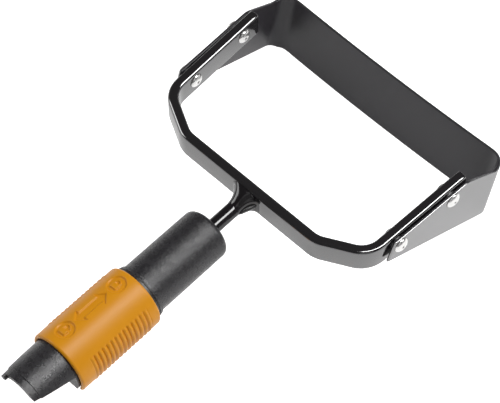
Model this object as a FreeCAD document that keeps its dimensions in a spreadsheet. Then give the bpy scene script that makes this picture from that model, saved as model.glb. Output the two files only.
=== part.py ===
"""Stirrup hoe head: a steel stirrup blade riveted to a bent yoke, a steel shank, and a plastic
handle coupling whose sleeve slides along the handle axis to lock the head on its handle.

Frame: millimetres. The handle axis is Y and the blade is at +Y. X runs along the blade and Z is up.
The origin is on the handle axis, in the coupling core's rear shoulder face.
"""
import FreeCAD, Part
import math
import os

import Sketcher

Vector = FreeCAD.Vector
Rotation = FreeCAD.Rotation
Placement = FreeCAD.Placement

doc = FreeCAD.newDocument("stirrup_hoe")

# Driving dimensions, in millimetres and degrees. y counts along the handle axis from the origin.
DIMENSIONS = {
    # yoke: one flat bar on edge, mirrored about the YZ plane
    "bar_thickness": 7.0,
    "bar_top": 11.0,
    "bar_bottom": -8.6,
    "bar_rounding": 2.0,
    "back_y": 162.3,
    "back_half": 56.6,
    "corner_half": 89.05,
    "diagonal_angle": 28.0,
    "splay_angle": 2.5,
    "arm_end_y": 263.6,
    "bend_radius": 21.0,
    # stirrup blade: one steel strip with a tilted band and two ears outside the yoke's arms
    "sheet_thickness": 2.0,
    "band_top_y": 301.7,
    "band_top": -9.0,
    "band_bottom": -54.3,
    "band_tilt": 13.0,
    "band_corner_radius": 12.0,
    "ear_rear_top_y": 197.5,
    "ear_rear_top": 10.0,
    "ear_rear_bottom_y": 191.5,
    "ear_rear_bottom": -5.5,
    "ear_waist_rear_y": 223.0,
    "ear_waist_front_y": 238.0,
    "ear_waist": 5.2,
    "ear_crown_rear_y": 254.0,
    "ear_crown_front_y": 262.0,
    "ear_crown": 8.4,
    "ear_waist_radius": 18.0,
    "ear_corner_radius": 3.0,
    "ear_splay_angle": 2.3,
    "ear_gap": 1.1,
    "bevel_height": 4.5,
    "bevel_depth": 1.3,
    # rivets
    "rivet_radius": 2.5,
    "rivet_head_radius": 5.4,
    "rivet_head_height": 2.4,
    "rivet_dimple_radius": 1.1,
    "rivet_dimple_depth": 0.7,
    "rivet_rear_y": 202.2,
    "rivet_front_y": 248.4,
    "rivet_height": 3.0,
    "washer_radius": 5.0,
    "washer_play": 0.1,
    # shank
    "rod_radius": 5.0,
    "tang_end_y": 55.0,
    "web_rim": 1.0,
    "web_half": 12.0,
    "web_rise": 10.6,
    "web_drop": 7.4,
    "bead_radius": 1.5,
    "bead_sweep": 66.0,
    # barrel and its bush
    "barrel_start_y": 71.0,
    "barrel_end_y": 129.7,
    "barrel_radius": 17.5,
    "barrel_end_radius": 17.3,
    "barrel_nose_radius": 4.5,
    "barrel_mouth_radius": 5.3,
    "barrel_mouth_y": 122.0,
    "bush_radius": 8.0,
    "bush_start_y": 101.0,
    # coupling core and its tongue
    "core_radius": 18.6,
    "spigot_radius": 14.0,
    "spigot_end_y": 100.0,
    "socket_radius": 6.0,
    "socket_depth": 18.0,
    "tongue_length": 29.0,
    "tongue_wall": 3.2,
    "tongue_cut_height": 7.4,
    "tongue_cut_angle": 10.0,
    "tongue_step": 0.4,
    "tongue_step_length": 4.5,
    "lug_length": 2.0,
    "lug_inner_angle": 36.0,
    "lug_outer_angle": 46.5,
    "underside_height": 7.1,
    "underside_slope": 0.95,
    "pin_radius": 2.0,
    "pin_y": 86.0,
    "snap_ring_y": 18.0,
    "snap_ring_radius": 0.9,
    "seal_y": 26.0,
    "seal_radius": 1.2,
    # locking sleeve
    "sleeve_start_y": 1.5,
    "sleeve_end_y": 66.5,
    "sleeve_radius": 21.5,
    "sleeve_clearance": 0.08,
    "sleeve_rim": 1.2,
    "sleeve_mouth_radius": 19.5,
    "sleeve_mouth_depth": 3.0,
    "sleeve_travel": 29.0,
    "key_width": 5.0,
    "key_depth": 1.6,
    "key_start_y": 57.0,
    "key_length": 7.0,
    "key_clearance": 0.3,
}

sheet = doc.addObject("Spreadsheet::Sheet", "Sizes")
for row, (alias, value) in enumerate(DIMENSIONS.items(), start=1):
    sheet.set(f"A{row}", alias)
    sheet.set(f"B{row}", str(value))
    sheet.setAlias(f"B{row}", alias)
doc.recompute()


def sized(expression):
    """An expression with each alias turned into a reference to the sheet."""
    words = []
    word = ""
    for letter in expression + " ":
        if letter.isalnum() or letter == "_":
            word += letter
            continue
        words.append("Sizes." + word if word in DIMENSIONS else word)
        words.append(letter)
        word = ""
    return "".join(words).strip()


def value_of(expression):
    """The present value of an expression of the sheet's aliases."""
    return float(sheet.evalExpression(sized(expression)))


def bind(item, name, expression):
    """Bind a property of a document object to an expression of the sheet's aliases."""
    item.setExpression(name, sized(expression))


def new_body(label):
    """An empty PartDesign body, whose label is the node's name."""
    body = doc.addObject("PartDesign::Body", label)
    body.Label = label
    return body


def origin_item(body, role):
    """One of the body's own origin planes or axes."""
    return next(item for item in body.Origin.OriginFeatures if item.Role == role)


def new_sketch(body, name, plane, lift="0"):
    """A sketch flat on one of the body's origin planes, lifted off it along its normal."""
    sketch = body.newObject("Sketcher::SketchObject", name)
    sketch.AttachmentSupport = (origin_item(body, plane), [""])
    sketch.MapMode = "FlatFace"
    bind(sketch, "AttachmentOffset.Base.z", lift)
    return sketch


def place_point(sketch, edge, corner, place):
    """Fix one end of a sketch edge at a pair of expressions."""
    for kind, axis, expression in (("DistanceX", -2, place[0]), ("DistanceY", -1, place[1])):
        if abs(value_of(expression)) < 1e-9:
            sketch.addConstraint(Sketcher.Constraint("PointOnObject", edge, corner, axis))
            continue
        number = sketch.addConstraint(
            Sketcher.Constraint(kind, -1, 1, edge, corner, value_of(expression)))
        bind(sketch, f"Constraints[{number}]", expression)


def draw_outline(sketch, corners):
    """A closed outline of straight runs through corners given as pairs of expressions."""
    points = [Vector(value_of(x), value_of(y), 0) for x, y in corners]
    count = len(points)
    for index in range(count):
        sketch.addGeometry(Part.LineSegment(points[index], points[(index + 1) % count]), False)
    for index in range(count):
        sketch.addConstraint(Sketcher.Constraint("Coincident", index, 2, (index + 1) % count, 1))
    for index in range(count):
        place_point(sketch, index, 1, corners[index])


def draw_circle(sketch, across, along, radius):
    """A circle whose centre and radius are expressions."""
    centre = Vector(value_of(across), value_of(along), 0)
    edge = sketch.addGeometry(Part.Circle(centre, Vector(0, 0, 1), value_of(radius)), False)
    place_point(sketch, edge, 3, (across, along))
    number = sketch.addConstraint(Sketcher.Constraint("Radius", edge, value_of(radius)))
    bind(sketch, f"Constraints[{number}]", radius)


def pad(body, name, sketch, length, reverse=False):
    """Pad a sketch off its plane."""
    feature = body.newObject("PartDesign::Pad", name)
    feature.Profile = sketch
    bind(feature, "Length", length)
    feature.Reversed = reverse
    doc.recompute()
    return feature


def cut_across(body, name, sketch):
    """Cut a sketch's outline right through the body, both ways from its plane."""
    before = body.Shape.Volume
    feature = body.newObject("PartDesign::Pocket", name)
    feature.Profile = sketch
    feature.Type = "ThroughAll"
    feature.SideType = "Symmetric"
    doc.recompute()
    if body.Shape.Volume >= before:
        raise RuntimeError(name + " cuts nothing")
    return feature


def turn(body, name, sketch, axis="Y_Axis"):
    """Revolve a sketch right round one of the body's origin axes."""
    feature = body.newObject("PartDesign::Revolution", name)
    feature.Profile = sketch
    feature.ReferenceAxis = (origin_item(body, axis), [""])
    feature.Angle = 360.0
    doc.recompute()
    return feature


def turned_body(label, stations):
    """A body turned about the handle axis; stations are (radius, y) pairs of expressions."""
    body = new_body(label)
    sketch = new_sketch(body, label + "_section", "XY_Plane")
    draw_outline(sketch, stations)
    turn(body, label + "_turning", sketch)
    return body


def edges_along(shape, direction, places, reach=0.6):
    """Names of the straight edges that run along a direction and pass within reach of a place."""
    names = []
    for number, edge in enumerate(shape.Edges, start=1):
        if edge.Curve.TypeId != "Part::GeomLine" or edge.Length < 1e-6:
            continue
        run = edge.tangentAt(edge.FirstParameter)
        if run.cross(direction).Length > 1e-3:
            continue
        start = edge.Vertexes[0].Point
        for place in places:
            gap = (place - start) - direction * (place - start).dot(direction)
            if gap.Length < reach:
                names.append(f"Edge{number}")
                break
    return names


def round_edges(body, name, names, radius):
    """Round the named edges of the body's tip."""
    if not names:
        raise RuntimeError(name + " found no edges")
    base = body.Tip
    feature = body.newObject("PartDesign::Fillet", name)
    feature.Base = (base, names)
    bind(feature, "Radius", radius)
    doc.recompute()
    return feature


def mirrored(half):
    """The right half of an outline followed by its mirror image in the YZ plane."""
    return half + [(f"-({x})", y) for x, y in reversed(half)]


# ---- Yoke: the bar's outer face is a back, two diagonals and two slightly splayed arms -----------

DIAGONAL_SLOPE = "tan(diagonal_angle * 1 deg)"
SPLAY_SLOPE = "tan(splay_angle * 1 deg)"
CORNER_Y = f"(back_y + (corner_half - back_half) * {DIAGONAL_SLOPE})"
ARM_END_HALF = f"(corner_half + (arm_end_y - {CORNER_Y}) * {SPLAY_SLOPE})"
# half the turn from the diagonal to the arm, and the angle from +Y at which that bend's corner
# moves in when the bar's thickness is taken off
HALF_TURN = "((90 - splay_angle - diagonal_angle) / 2 * 1 deg)"
BISECTOR = "((90 - splay_angle + diagonal_angle) / 2 * 1 deg)"

BACK_OUTER = ("back_half", "back_y")
BACK_INNER = ("back_half - bar_thickness * tan(diagonal_angle / 2 * 1 deg)", "back_y + bar_thickness")
CORNER_OUTER = ("corner_half", CORNER_Y)
CORNER_INNER = (f"corner_half - bar_thickness / cos({HALF_TURN}) * sin({BISECTOR})",
                f"{CORNER_Y} + bar_thickness / cos({HALF_TURN}) * cos({BISECTOR})")
ARM_OUTER = (ARM_END_HALF, "arm_end_y")
ARM_INNER = (f"{ARM_END_HALF} - bar_thickness / cos(splay_angle * 1 deg)", "arm_end_y")


def rivet_holes(body, name):
    """Cut the four rivet holes across both sides of a body, square to the YZ plane."""
    sketch = new_sketch(body, name, "YZ_Plane")
    for station in ("rivet_rear_y", "rivet_front_y"):
        draw_circle(sketch, station, "rivet_height", "rivet_radius")
    cut_across(body, name + "_cut", sketch)


def make_yoke():
    """The flat bar on edge, bent four times, its long edges rounded, its arms drilled."""
    body = new_body("yoke_bar")
    outline = new_sketch(body, "yoke_outline", "XY_Plane", "bar_bottom")
    outer = [BACK_OUTER, CORNER_OUTER, ARM_OUTER, ARM_INNER, CORNER_INNER, BACK_INNER]
    draw_outline(outline, mirrored(outer))
    pad(body, "yoke_bar_height", outline, "bar_top - bar_bottom")
    upright = Vector(0, 0, 1)
    bends = (("yoke_outer_bends", "bend_radius", (BACK_OUTER, CORNER_OUTER)),
             ("yoke_inner_bends", "bend_radius - bar_thickness", (BACK_INNER, CORNER_INNER)))
    for name, radius, corners in bends:
        places = [Vector(side * value_of(x), value_of(y), 0) for x, y in corners for side in (-1, 1)]
        round_edges(body, name, edges_along(body.Shape, upright, places), radius)
    levels = (value_of("bar_bottom"), value_of("bar_top"))
    end_y = value_of("arm_end_y")
    long_edges = []
    for number, edge in enumerate(body.Shape.Edges, start=1):
        box = edge.BoundBox
        level = any(abs(box.ZMin - z) < 1e-4 and abs(box.ZMax - z) < 1e-4 for z in levels)
        if level and box.YMin < end_y - 1e-3:
            long_edges.append(f"Edge{number}")
    round_edges(body, "yoke_long_edges", long_edges, "bar_rounding")
    rivet_holes(body, "yoke_rivet_holes")
    return body


# ---- Stirrup blade -------------------------------------------------------------------------------

BAND_SLOPE = "tan(band_tilt * 1 deg)"
EAR_SLOPE = "tan(ear_splay_angle * 1 deg)"


def arm_half(y):
    """Half the width between the arms' outer faces at y."""
    return f"(corner_half + ({y} - {CORNER_Y}) * {SPLAY_SLOPE})"


def ear_half(y, inset="0"):
    """Half the width between the ears' outer faces at y, moved in by the inset."""
    outer = f"{arm_half('rivet_rear_y')} + ear_gap + sheet_thickness"
    return f"({outer} + ({y} - rivet_rear_y) * {EAR_SLOPE} - ({inset}) / cos(ear_splay_angle * 1 deg))"


# the ears lean with the band, so at the rivets' height they stand this much further out
EAR_LEAN = f"((ear_crown + 1 - rivet_height) * {BAND_SLOPE} * {EAR_SLOPE})"


def gap_at(station):
    """The space between an arm and its ear at a rivet."""
    return f"({ear_half(station)} + {EAR_LEAN} - sheet_thickness - {arm_half(station)})"


def make_blade():
    """A strip bent round two upright corners, tilted in its band, with its ears cut to shape."""
    body = new_body("stirrup_blade")
    top = "(ear_crown + 1)"
    band_y = f"(band_top_y + ({top} - band_top) * {BAND_SLOPE})"
    rear = "(ear_rear_bottom_y - 5)"
    outline = new_sketch(body, "strip_outline", "XY_Plane", top)
    outer = [(ear_half(band_y), band_y), (ear_half(rear), rear)]
    inner_y = f"({band_y} - sheet_thickness / cos(band_tilt * 1 deg))"
    inner = [(ear_half(rear, "sheet_thickness"), rear), (ear_half(inner_y, "sheet_thickness"), inner_y)]
    draw_outline(outline, mirrored(outer + inner))
    strip = pad(body, "strip", outline, f"{top} - band_bottom", reverse=True)
    tilt = math.radians(value_of("band_tilt"))
    down = Vector(0, -math.sin(tilt), -math.cos(tilt))
    strip.UseCustomVector = True
    strip.Direction = down
    strip.Reversed = False
    strip.AlongSketchNormal = True
    doc.recompute()

    for name, corner, radius in (
            ("strip_corners_outer", (ear_half(band_y), band_y), "band_corner_radius"),
            ("strip_corners_inner", inner[1], "band_corner_radius - sheet_thickness")):
        places = [Vector(side * value_of(corner[0]), value_of(corner[1]), value_of(top))
                  for side in (-1, 1)]
        round_edges(body, name, edges_along(body.Shape, down, places), radius)

    # the ears' upper edge: crown at the arm's end, waist between the rivets, level rear end
    upper = new_sketch(body, "ear_upper_edge", "YZ_Plane")
    crown_line = [("ear_rear_top_y", "ear_rear_top"),
                  ("ear_waist_rear_y", "ear_waist"),
                  ("ear_waist_front_y", "ear_waist"),
                  ("ear_crown_rear_y", "ear_crown"),
                  ("ear_crown_front_y", "ear_crown"),
                  ("band_top_y - band_corner_radius", "band_top"),
                  (f"{band_y} + band_corner_radius", "band_top")]
    frame = [(f"{band_y} + band_corner_radius", f"{top} + 10"), ("ear_rear_top_y", f"{top} + 10")]
    draw_outline(upper, crown_line + frame)
    cut_across(body, "ear_upper_cut", upper)

    # the rear end, and the lower edge that falls straight to the band's lower corner
    lower = new_sketch(body, "ear_lower_edge", "YZ_Plane")
    band_low_y = f"(band_top_y + (band_bottom - band_top) * {BAND_SLOPE})"
    behind = f"({rear} - ({top} - band_bottom))"
    draw_outline(lower, [("ear_rear_top_y", f"{top} + 10"),
                         ("ear_rear_top_y", "ear_rear_top"),
                         ("ear_rear_bottom_y", "ear_rear_bottom"),
                         (f"{band_low_y} - sheet_thickness", "band_bottom"),
                         (f"{band_low_y} - sheet_thickness", "band_bottom - 10"),
                         (behind, "band_bottom - 10"),
                         (behind, f"{top} + 10")])
    cut_across(body, "ear_lower_cut", lower)

    across = Vector(1, 0, 0)
    for name, corners, radius in (
            ("ear_waist_rounding", crown_line[1:3], "ear_waist_radius"),
            ("ear_crown_rounding", crown_line[3:5], "ear_corner_radius * 1.6"),
            ("ear_rear_rounding", [crown_line[0], ("ear_rear_bottom_y", "ear_rear_bottom")],
             "ear_corner_radius")):
        places = [Vector(0, value_of(y), value_of(z)) for y, z in corners]
        round_edges(body, name, edges_along(body.Shape, across, places), radius)
    rivet_holes(body, "blade_rivet_holes")

    # the cutting bevel on the band's outer lower edge
    bevel = new_sketch(body, "bevel_section", "YZ_Plane")
    draw_outline(bevel, [(f"{band_low_y} - bevel_depth", "band_bottom - 1"),
                         (f"{band_low_y} - bevel_depth", "band_bottom"),
                         (f"{band_low_y} + bevel_height * {BAND_SLOPE}", "band_bottom + bevel_height"),
                         (f"{band_low_y} + bevel_height", "band_bottom + bevel_height"),
                         (f"{band_low_y} + bevel_height", "band_bottom - 1")])
    cut_across(body, "bevel_cut", bevel)
    return body


# ---- Rivets --------------------------------------------------------------------------------------

def make_rivet(label, side, station):
    """A solid rivet turned about X: a dimpled dome outside the ear, a smaller dome inside the arm."""
    body = new_body(label)
    grip = f"(bar_thickness + sheet_thickness + {gap_at(station)})"
    section = new_sketch(body, label + "_section", "XY_Plane")
    draw_outline(section, [
        ("rivet_head_height - rivet_dimple_depth", "0"),
        ("rivet_head_height", "rivet_dimple_radius"),
        ("rivet_head_height * 0.93", "rivet_head_radius * 0.45"),
        ("rivet_head_height * 0.62", "rivet_head_radius * 0.8"),
        ("rivet_head_height * 0.2", "rivet_head_radius"),
        ("0", "rivet_head_radius"),
        ("0", "rivet_radius"),
        (f"-{grip}", "rivet_radius"),
        (f"-{grip}", "rivet_head_radius * 0.93"),
        (f"-{grip} - rivet_head_height * 0.2", "rivet_head_radius * 0.93"),
        (f"-{grip} - rivet_head_height * 0.62", "rivet_head_radius * 0.75"),
        (f"-{grip} - rivet_head_height * 0.93", "rivet_head_radius * 0.4"),
        (f"-{grip} - rivet_head_height * 0.93", "0")])
    turn(body, label + "_turning", section, "X_Axis")
    # the head's seat lies on the ear's outer face, which leans out by the splay angle
    turned = 0.0 if side > 0 else 180.0
    lean = -side * value_of("ear_splay_angle")
    body.Placement = Placement(Vector(0, 0, 0), Rotation(Vector(0, 0, 1), turned + lean))
    sign = "" if side > 0 else "-"
    bind(body, "Placement.Base.x", f"{sign}({ear_half(station)} + {EAR_LEAN})")
    bind(body, "Placement.Base.y", station)
    bind(body, "Placement.Base.z", "rivet_height")
    return body


def make_washer(label, side, station):
    """A spacing washer on a rivet, between the arm and the ear."""
    body = new_body(label)
    thick = f"({gap_at(station)} - washer_play)"
    section = new_sketch(body, label + "_section", "XY_Plane")
    draw_outline(section, [(f"-{thick} / 2", "rivet_radius"), (f"-{thick} / 2", "washer_radius"),
                           (f"{thick} / 2", "washer_radius"), (f"{thick} / 2", "rivet_radius")])
    turn(body, label + "_turning", section, "X_Axis")
    body.Placement = Placement(Vector(0, 0, 0),
                               Rotation(Vector(0, 0, 1), -side * value_of("ear_splay_angle")))
    sign = "" if side > 0 else "-"
    bind(body, "Placement.Base.x", f"{sign}({arm_half(station)} + {gap_at(station)} / 2)")
    bind(body, "Placement.Base.y", station)
    bind(body, "Placement.Base.z", "rivet_height")
    return body


# ---- Shank ---------------------------------------------------------------------------------------

def make_shank():
    """A round rod with a tang at its rear; its front flares into a web, flattened above and below."""
    body = turned_body("shank_rod", [("0", "tang_end_y"),
                                     ("rod_radius - 0.8", "tang_end_y"),
                                     ("rod_radius", "tang_end_y + 0.8"),
                                     ("rod_radius", "back_y - web_rim"),
                                     ("web_half", "back_y - web_rim"),
                                     ("web_half", "back_y"),
                                     ("0", "back_y")])
    root = []
    for number, edge in enumerate(body.Shape.Edges, start=1):
        if edge.Curve.TypeId != "Part::GeomCircle":
            continue
        at_web = abs(edge.BoundBox.YMin - value_of("back_y - web_rim")) < 1e-3
        if at_web and abs(edge.Curve.Radius - value_of("rod_radius")) < 1e-3:
            root.append(f"Edge{number}")
    round_edges(body, "web_flare", root, "web_half - rod_radius - 0.3")
    near = "(back_y - web_half)"
    for word, level, far in (("above", "web_rise", "2 * web_half"), ("below", "-web_drop", "-2 * web_half")):
        slab = new_sketch(body, "web_" + word, "YZ_Plane")
        draw_outline(slab, [(near, level), ("back_y + 1", level), ("back_y + 1", far), (near, far)])
        cut_across(body, slab.Name + "_cut", slab)
    hole = new_sketch(body, "tang_hole", "XY_Plane")
    draw_circle(hole, "0", "pin_y", "pin_radius")
    cut_across(body, "tang_hole_cut", hole)
    return body


def make_weld_bead(label, side):
    """A fillet bead round one end of the web, lying on the yoke's back."""
    ring = doc.addObject("Part::Torus", label + "_ring")
    bind(ring, "Radius1", "web_half + 0.4")
    bind(ring, "Radius2", "bead_radius")
    bind(ring, "Angle3", "bead_sweep")
    start = (0.0 if side > 0 else 180.0) - value_of("bead_sweep") / 2
    turned = Rotation(Vector(1, 0, 0), 90).multiply(Rotation(Vector(0, 0, 1), start))
    ring.Placement = Placement(Vector(0, 0, 0), turned)
    bind(ring, "Placement.Base.y", "back_y")
    keep = doc.addObject("Part::Box", label + "_keep")
    bind(keep, "Length", "web_half * 4")
    bind(keep, "Width", "bead_radius * 3")
    bind(keep, "Height", "web_half * 4")
    bind(keep, "Placement.Base.x", "-web_half * 2")
    bind(keep, "Placement.Base.y", "back_y - bead_radius * 3")
    bind(keep, "Placement.Base.z", "-web_half * 2")
    bead = doc.addObject("Part::Common", label)
    bead.Base = ring
    bead.Tool = keep
    return bead


# ---- Barrel, bush, core --------------------------------------------------------------------------

def make_barrel():
    """A hollow moulding: a wide socket for the core's spigot, a bore for the bush, a round nose."""
    body = turned_body("barrel", [("spigot_radius", "barrel_start_y"),
                                  ("barrel_radius", "barrel_start_y"),
                                  ("barrel_end_radius", "barrel_end_y"),
                                  ("barrel_mouth_radius", "barrel_end_y"),
                                  ("barrel_mouth_radius", "barrel_mouth_y"),
                                  ("bush_radius", "barrel_mouth_y"),
                                  ("bush_radius", "spigot_end_y + 0.5"),
                                  ("spigot_radius", "spigot_end_y + 0.5")])
    nose = []
    for number, edge in enumerate(body.Shape.Edges, start=1):
        if edge.Curve.TypeId != "Part::GeomCircle":
            continue
        at_end = abs(edge.BoundBox.YMin - value_of("barrel_end_y")) < 1e-3
        if at_end and abs(edge.Curve.Radius - value_of("barrel_end_radius")) < 1e-3:
            nose.append(f"Edge{number}")
    round_edges(body, "barrel_nose", nose, "barrel_nose_radius")
    return body


def make_bush():
    """The bush that centres the rod behind the barrel's mouth."""
    return turned_body("front_bush", [("rod_radius", "bush_start_y"),
                                      ("bush_radius", "bush_start_y"),
                                      ("bush_radius", "barrel_mouth_y"),
                                      ("rod_radius", "barrel_mouth_y")])


def ring_groove(station, radius):
    """Four corners of a groove in the core for a round ring whose crown is level with the core."""
    depth = f"core_radius - 2 * {radius}"
    return [("core_radius", f"{station} - {radius}"), (depth, f"{station} - {radius}"),
            (depth, f"{station} + {radius}"), ("core_radius", f"{station} + {radius}")]


def cut_underside(body):
    """Cut the rear of the core or the sleeve away below a plane that falls towards the front."""
    sketch = new_sketch(body, body.Name + "_underside", "YZ_Plane")
    far_y = "(core_radius * 2)"
    draw_outline(sketch, [("-2", "-underside_height + 2 * underside_slope"),
                          (far_y, f"-underside_height - {far_y} * underside_slope"),
                          ("-2", f"-underside_height - {far_y} * underside_slope")])
    cut_across(body, sketch.Name + "_cut", sketch)


def make_core():
    """The core: socket at the rear, ring grooves, keyways, spigot at the front, half-round tongue."""
    stations = [("0", "socket_depth"), ("socket_radius", "socket_depth"), ("socket_radius", "0"),
                ("core_radius", "0")]
    stations += ring_groove("snap_ring_y", "snap_ring_radius")
    stations += ring_groove("seal_y", "seal_radius")
    stations += [("core_radius", "barrel_start_y"),
                 ("spigot_radius", "barrel_start_y"),
                 ("spigot_radius", "spigot_end_y"),
                 ("rod_radius", "spigot_end_y"),
                 ("rod_radius", "tang_end_y - 3"),
                 ("0", "tang_end_y - 3")]
    body = turned_body("coupling_core", stations)

    shell = new_sketch(body, "tongue_section", "XY_Plane")
    draw_outline(shell, [("core_radius - tongue_wall", "-tongue_length"),
                         ("core_radius - tongue_step", "-tongue_length"),
                         ("core_radius - tongue_step", "tongue_step_length - tongue_length"),
                         ("core_radius", "tongue_step_length - tongue_length + 0.3"),
                         ("core_radius", "1"), ("core_radius - tongue_wall", "1")])
    turn(body, "tongue_shell", shell)
    below = new_sketch(body, "tongue_lower_edge", "YZ_Plane")
    far_y = "(-tongue_length - 5)"
    draw_outline(below, [("0", "tongue_cut_height"),
                         (far_y, f"tongue_cut_height - {far_y} * tan(tongue_cut_angle * 1 deg)"),
                         (far_y, "-core_radius - 5"),
                         ("0", "-core_radius - 5")])
    cut_across(body, "tongue_opening", below)
    cut_underside(body)

    # a small lug stands out from the left end of the tongue's rim
    lug = new_sketch(body, "tongue_lug", "XZ_Plane", "tongue_length - 1")
    outside, inside = "(core_radius - tongue_step)", "(core_radius - tongue_wall)"
    corners = ((outside, "lug_inner_angle"), (inside, "lug_inner_angle"),
               (inside, "lug_outer_angle"), (outside, "lug_outer_angle"))
    draw_outline(lug, [(f"-{radius} * sin({angle} * 1 deg)", f"{radius} * cos({angle} * 1 deg)")
                       for radius, angle in corners])
    pad(body, "tongue_lug_pad", lug, "lug_length + 1")

    for side in (-1, 1):
        keyway = new_sketch(body, f"keyway_{'left' if side < 0 else 'right'}", "YZ_Plane",
                            f"{side} * (core_radius - key_depth - key_clearance)")
        half = "(key_width / 2 + key_clearance)"
        near = "(key_start_y - sleeve_travel - key_clearance)"
        far = "(key_start_y + key_length + key_clearance)"
        draw_outline(keyway, [(near, f"-{half}"), (far, f"-{half}"), (far, half), (near, half)])
        before = body.Shape.Volume
        slot = body.newObject("PartDesign::Pocket", keyway.Name + "_cut")
        slot.Profile = keyway
        slot.Type = "Length"
        bind(slot, "Length", "key_depth + key_clearance + 1")
        slot.Reversed = side > 0
        doc.recompute()
        if body.Shape.Volume >= before:
            raise RuntimeError(slot.Name + " cuts nothing")

    hole = new_sketch(body, "core_pin_hole", "XY_Plane")
    draw_circle(hole, "0", "pin_y", "pin_radius")
    cut_across(body, "core_pin_hole_cut", hole)
    return body


def make_pin():
    """The cross pin through the spigot and the tang, along Z, inside the barrel."""
    pin = doc.addObject("Part::Cylinder", "tang_cross_pin")
    bind(pin, "Radius", "pin_radius")
    bind(pin, "Height", "2 * spigot_radius - 1.2")
    bind(pin, "Placement.Base.y", "pin_y")
    bind(pin, "Placement.Base.z", "-spigot_radius + 0.6")
    return pin


def make_ring(label, station, radius):
    """A round ring in its groove in the core."""
    ring = doc.addObject("Part::Torus", label)
    bind(ring, "Radius1", f"core_radius - {radius}")
    bind(ring, "Radius2", radius)
    ring.Placement = Placement(Vector(0, 0, 0), Rotation(Vector(1, 0, 0), 90))
    bind(ring, "Placement.Base.y", station)
    return ring


# ---- Locking sleeve ------------------------------------------------------------------------------

def make_sleeve():
    """A tube with softened rims, a relieved rear mouth, and two keys that run in the keyways."""
    bore = "(core_radius + sleeve_clearance)"
    body = turned_body("locking_sleeve", [
        ("sleeve_mouth_radius", "sleeve_start_y"),
        ("sleeve_radius - sleeve_rim", "sleeve_start_y"),
        ("sleeve_radius", "sleeve_start_y + sleeve_rim"),
        ("sleeve_radius", "sleeve_end_y - sleeve_rim"),
        ("sleeve_radius - sleeve_rim", "sleeve_end_y"),
        (bore, "sleeve_end_y"),
        (bore, "sleeve_start_y + sleeve_mouth_depth"),
        ("sleeve_mouth_radius", "sleeve_start_y + sleeve_mouth_depth")])
    for side in (-1, 1):
        key = new_sketch(body, f"key_{'left' if side < 0 else 'right'}", "YZ_Plane",
                         f"{side} * (core_radius - key_depth)")
        end = "(key_start_y + key_length)"
        draw_outline(key, [("key_start_y", "-key_width / 2"), (end, "-key_width / 2"),
                           (end, "key_width / 2"), ("key_start_y", "key_width / 2")])
        pad(body, key.Name + "_pad", key, "key_depth + 1.2", reverse=side < 0)
    cut_underside(body)
    return body


# ---- The nodes -----------------------------------------------------------------------------------

SIDES = (("left", -1), ("right", 1))
nodes = [make_blade(), make_yoke(), make_shank()]
for word, side in SIDES:
    nodes.append(make_weld_bead("weld_bead_" + word, side))
    for station in ("rear", "front"):
        nodes.append(make_rivet(f"rivet_{station}_{word}", side, f"rivet_{station}_y"))
        nodes.append(make_washer(f"washer_{station}_{word}", side, f"rivet_{station}_y"))
nodes += [make_barrel(), make_bush(), make_core(), make_pin(),
          make_ring("snap_ring", "snap_ring_y", "snap_ring_radius"),
          make_ring("sleeve_seal", "seal_y", "seal_radius"),
          make_sleeve()]
doc.recompute()

for item in doc.Objects:
    if "Invalid" in item.State or "Error" in item.State:
        raise RuntimeError(item.Label + " did not build: " + str(item.State))

os.makedirs("parts", exist_ok=True)
for node in nodes:
    shape = node.Shape
    if shape.isNull() or not shape.isValid() or not shape.Solids:
        raise RuntimeError(node.Label + " has no valid shape")
    shape.exportStep(f"parts/{node.Label}.step")
    box = shape.BoundBox
    print(f"{node.Label:18s} {len(shape.Solids)} solid(s) {shape.Volume:10.1f} mm3 "
          f"x {box.XMin:7.1f} {box.XMax:7.1f} y {box.YMin:7.1f} {box.YMax:7.1f} "
          f"z {box.ZMin:6.1f} {box.ZMax:6.1f}")
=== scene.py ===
"""Looks of a stirrup hoe head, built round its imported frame: painted steel stirrup blade, yoke and
shank, a charcoal plastic barrel and coupling, and an orange locking sleeve that slides on it."""

import math

import bpy
import numpy as np
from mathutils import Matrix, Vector


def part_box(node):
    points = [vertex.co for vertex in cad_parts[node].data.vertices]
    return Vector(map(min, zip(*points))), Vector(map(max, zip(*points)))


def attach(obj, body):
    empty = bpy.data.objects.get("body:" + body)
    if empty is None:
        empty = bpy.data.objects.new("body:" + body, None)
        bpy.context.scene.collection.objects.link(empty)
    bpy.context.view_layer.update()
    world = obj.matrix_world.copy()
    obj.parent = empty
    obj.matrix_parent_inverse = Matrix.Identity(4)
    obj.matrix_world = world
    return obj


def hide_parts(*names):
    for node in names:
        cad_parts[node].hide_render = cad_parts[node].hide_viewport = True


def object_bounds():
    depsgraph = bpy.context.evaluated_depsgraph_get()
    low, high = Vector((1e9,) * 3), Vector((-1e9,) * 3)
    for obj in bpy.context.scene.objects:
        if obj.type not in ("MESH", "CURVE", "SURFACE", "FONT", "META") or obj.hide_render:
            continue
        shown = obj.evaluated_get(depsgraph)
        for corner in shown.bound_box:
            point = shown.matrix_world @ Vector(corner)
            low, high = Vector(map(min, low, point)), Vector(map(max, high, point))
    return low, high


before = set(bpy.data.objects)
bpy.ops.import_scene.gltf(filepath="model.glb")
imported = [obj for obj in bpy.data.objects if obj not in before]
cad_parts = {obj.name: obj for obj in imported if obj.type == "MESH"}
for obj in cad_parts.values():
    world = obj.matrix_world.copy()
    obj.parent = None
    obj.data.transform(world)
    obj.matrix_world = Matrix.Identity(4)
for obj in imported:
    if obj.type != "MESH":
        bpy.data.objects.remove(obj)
cad_low, cad_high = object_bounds()

MM = 0.001


# ---- Places read from the frame ------------------------------------------------------------------

def node_box(name):
    """A node's lowest and highest corners in millimetres."""
    low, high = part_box(name)
    return np.array(low) / MM, np.array(high) / MM


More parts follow.
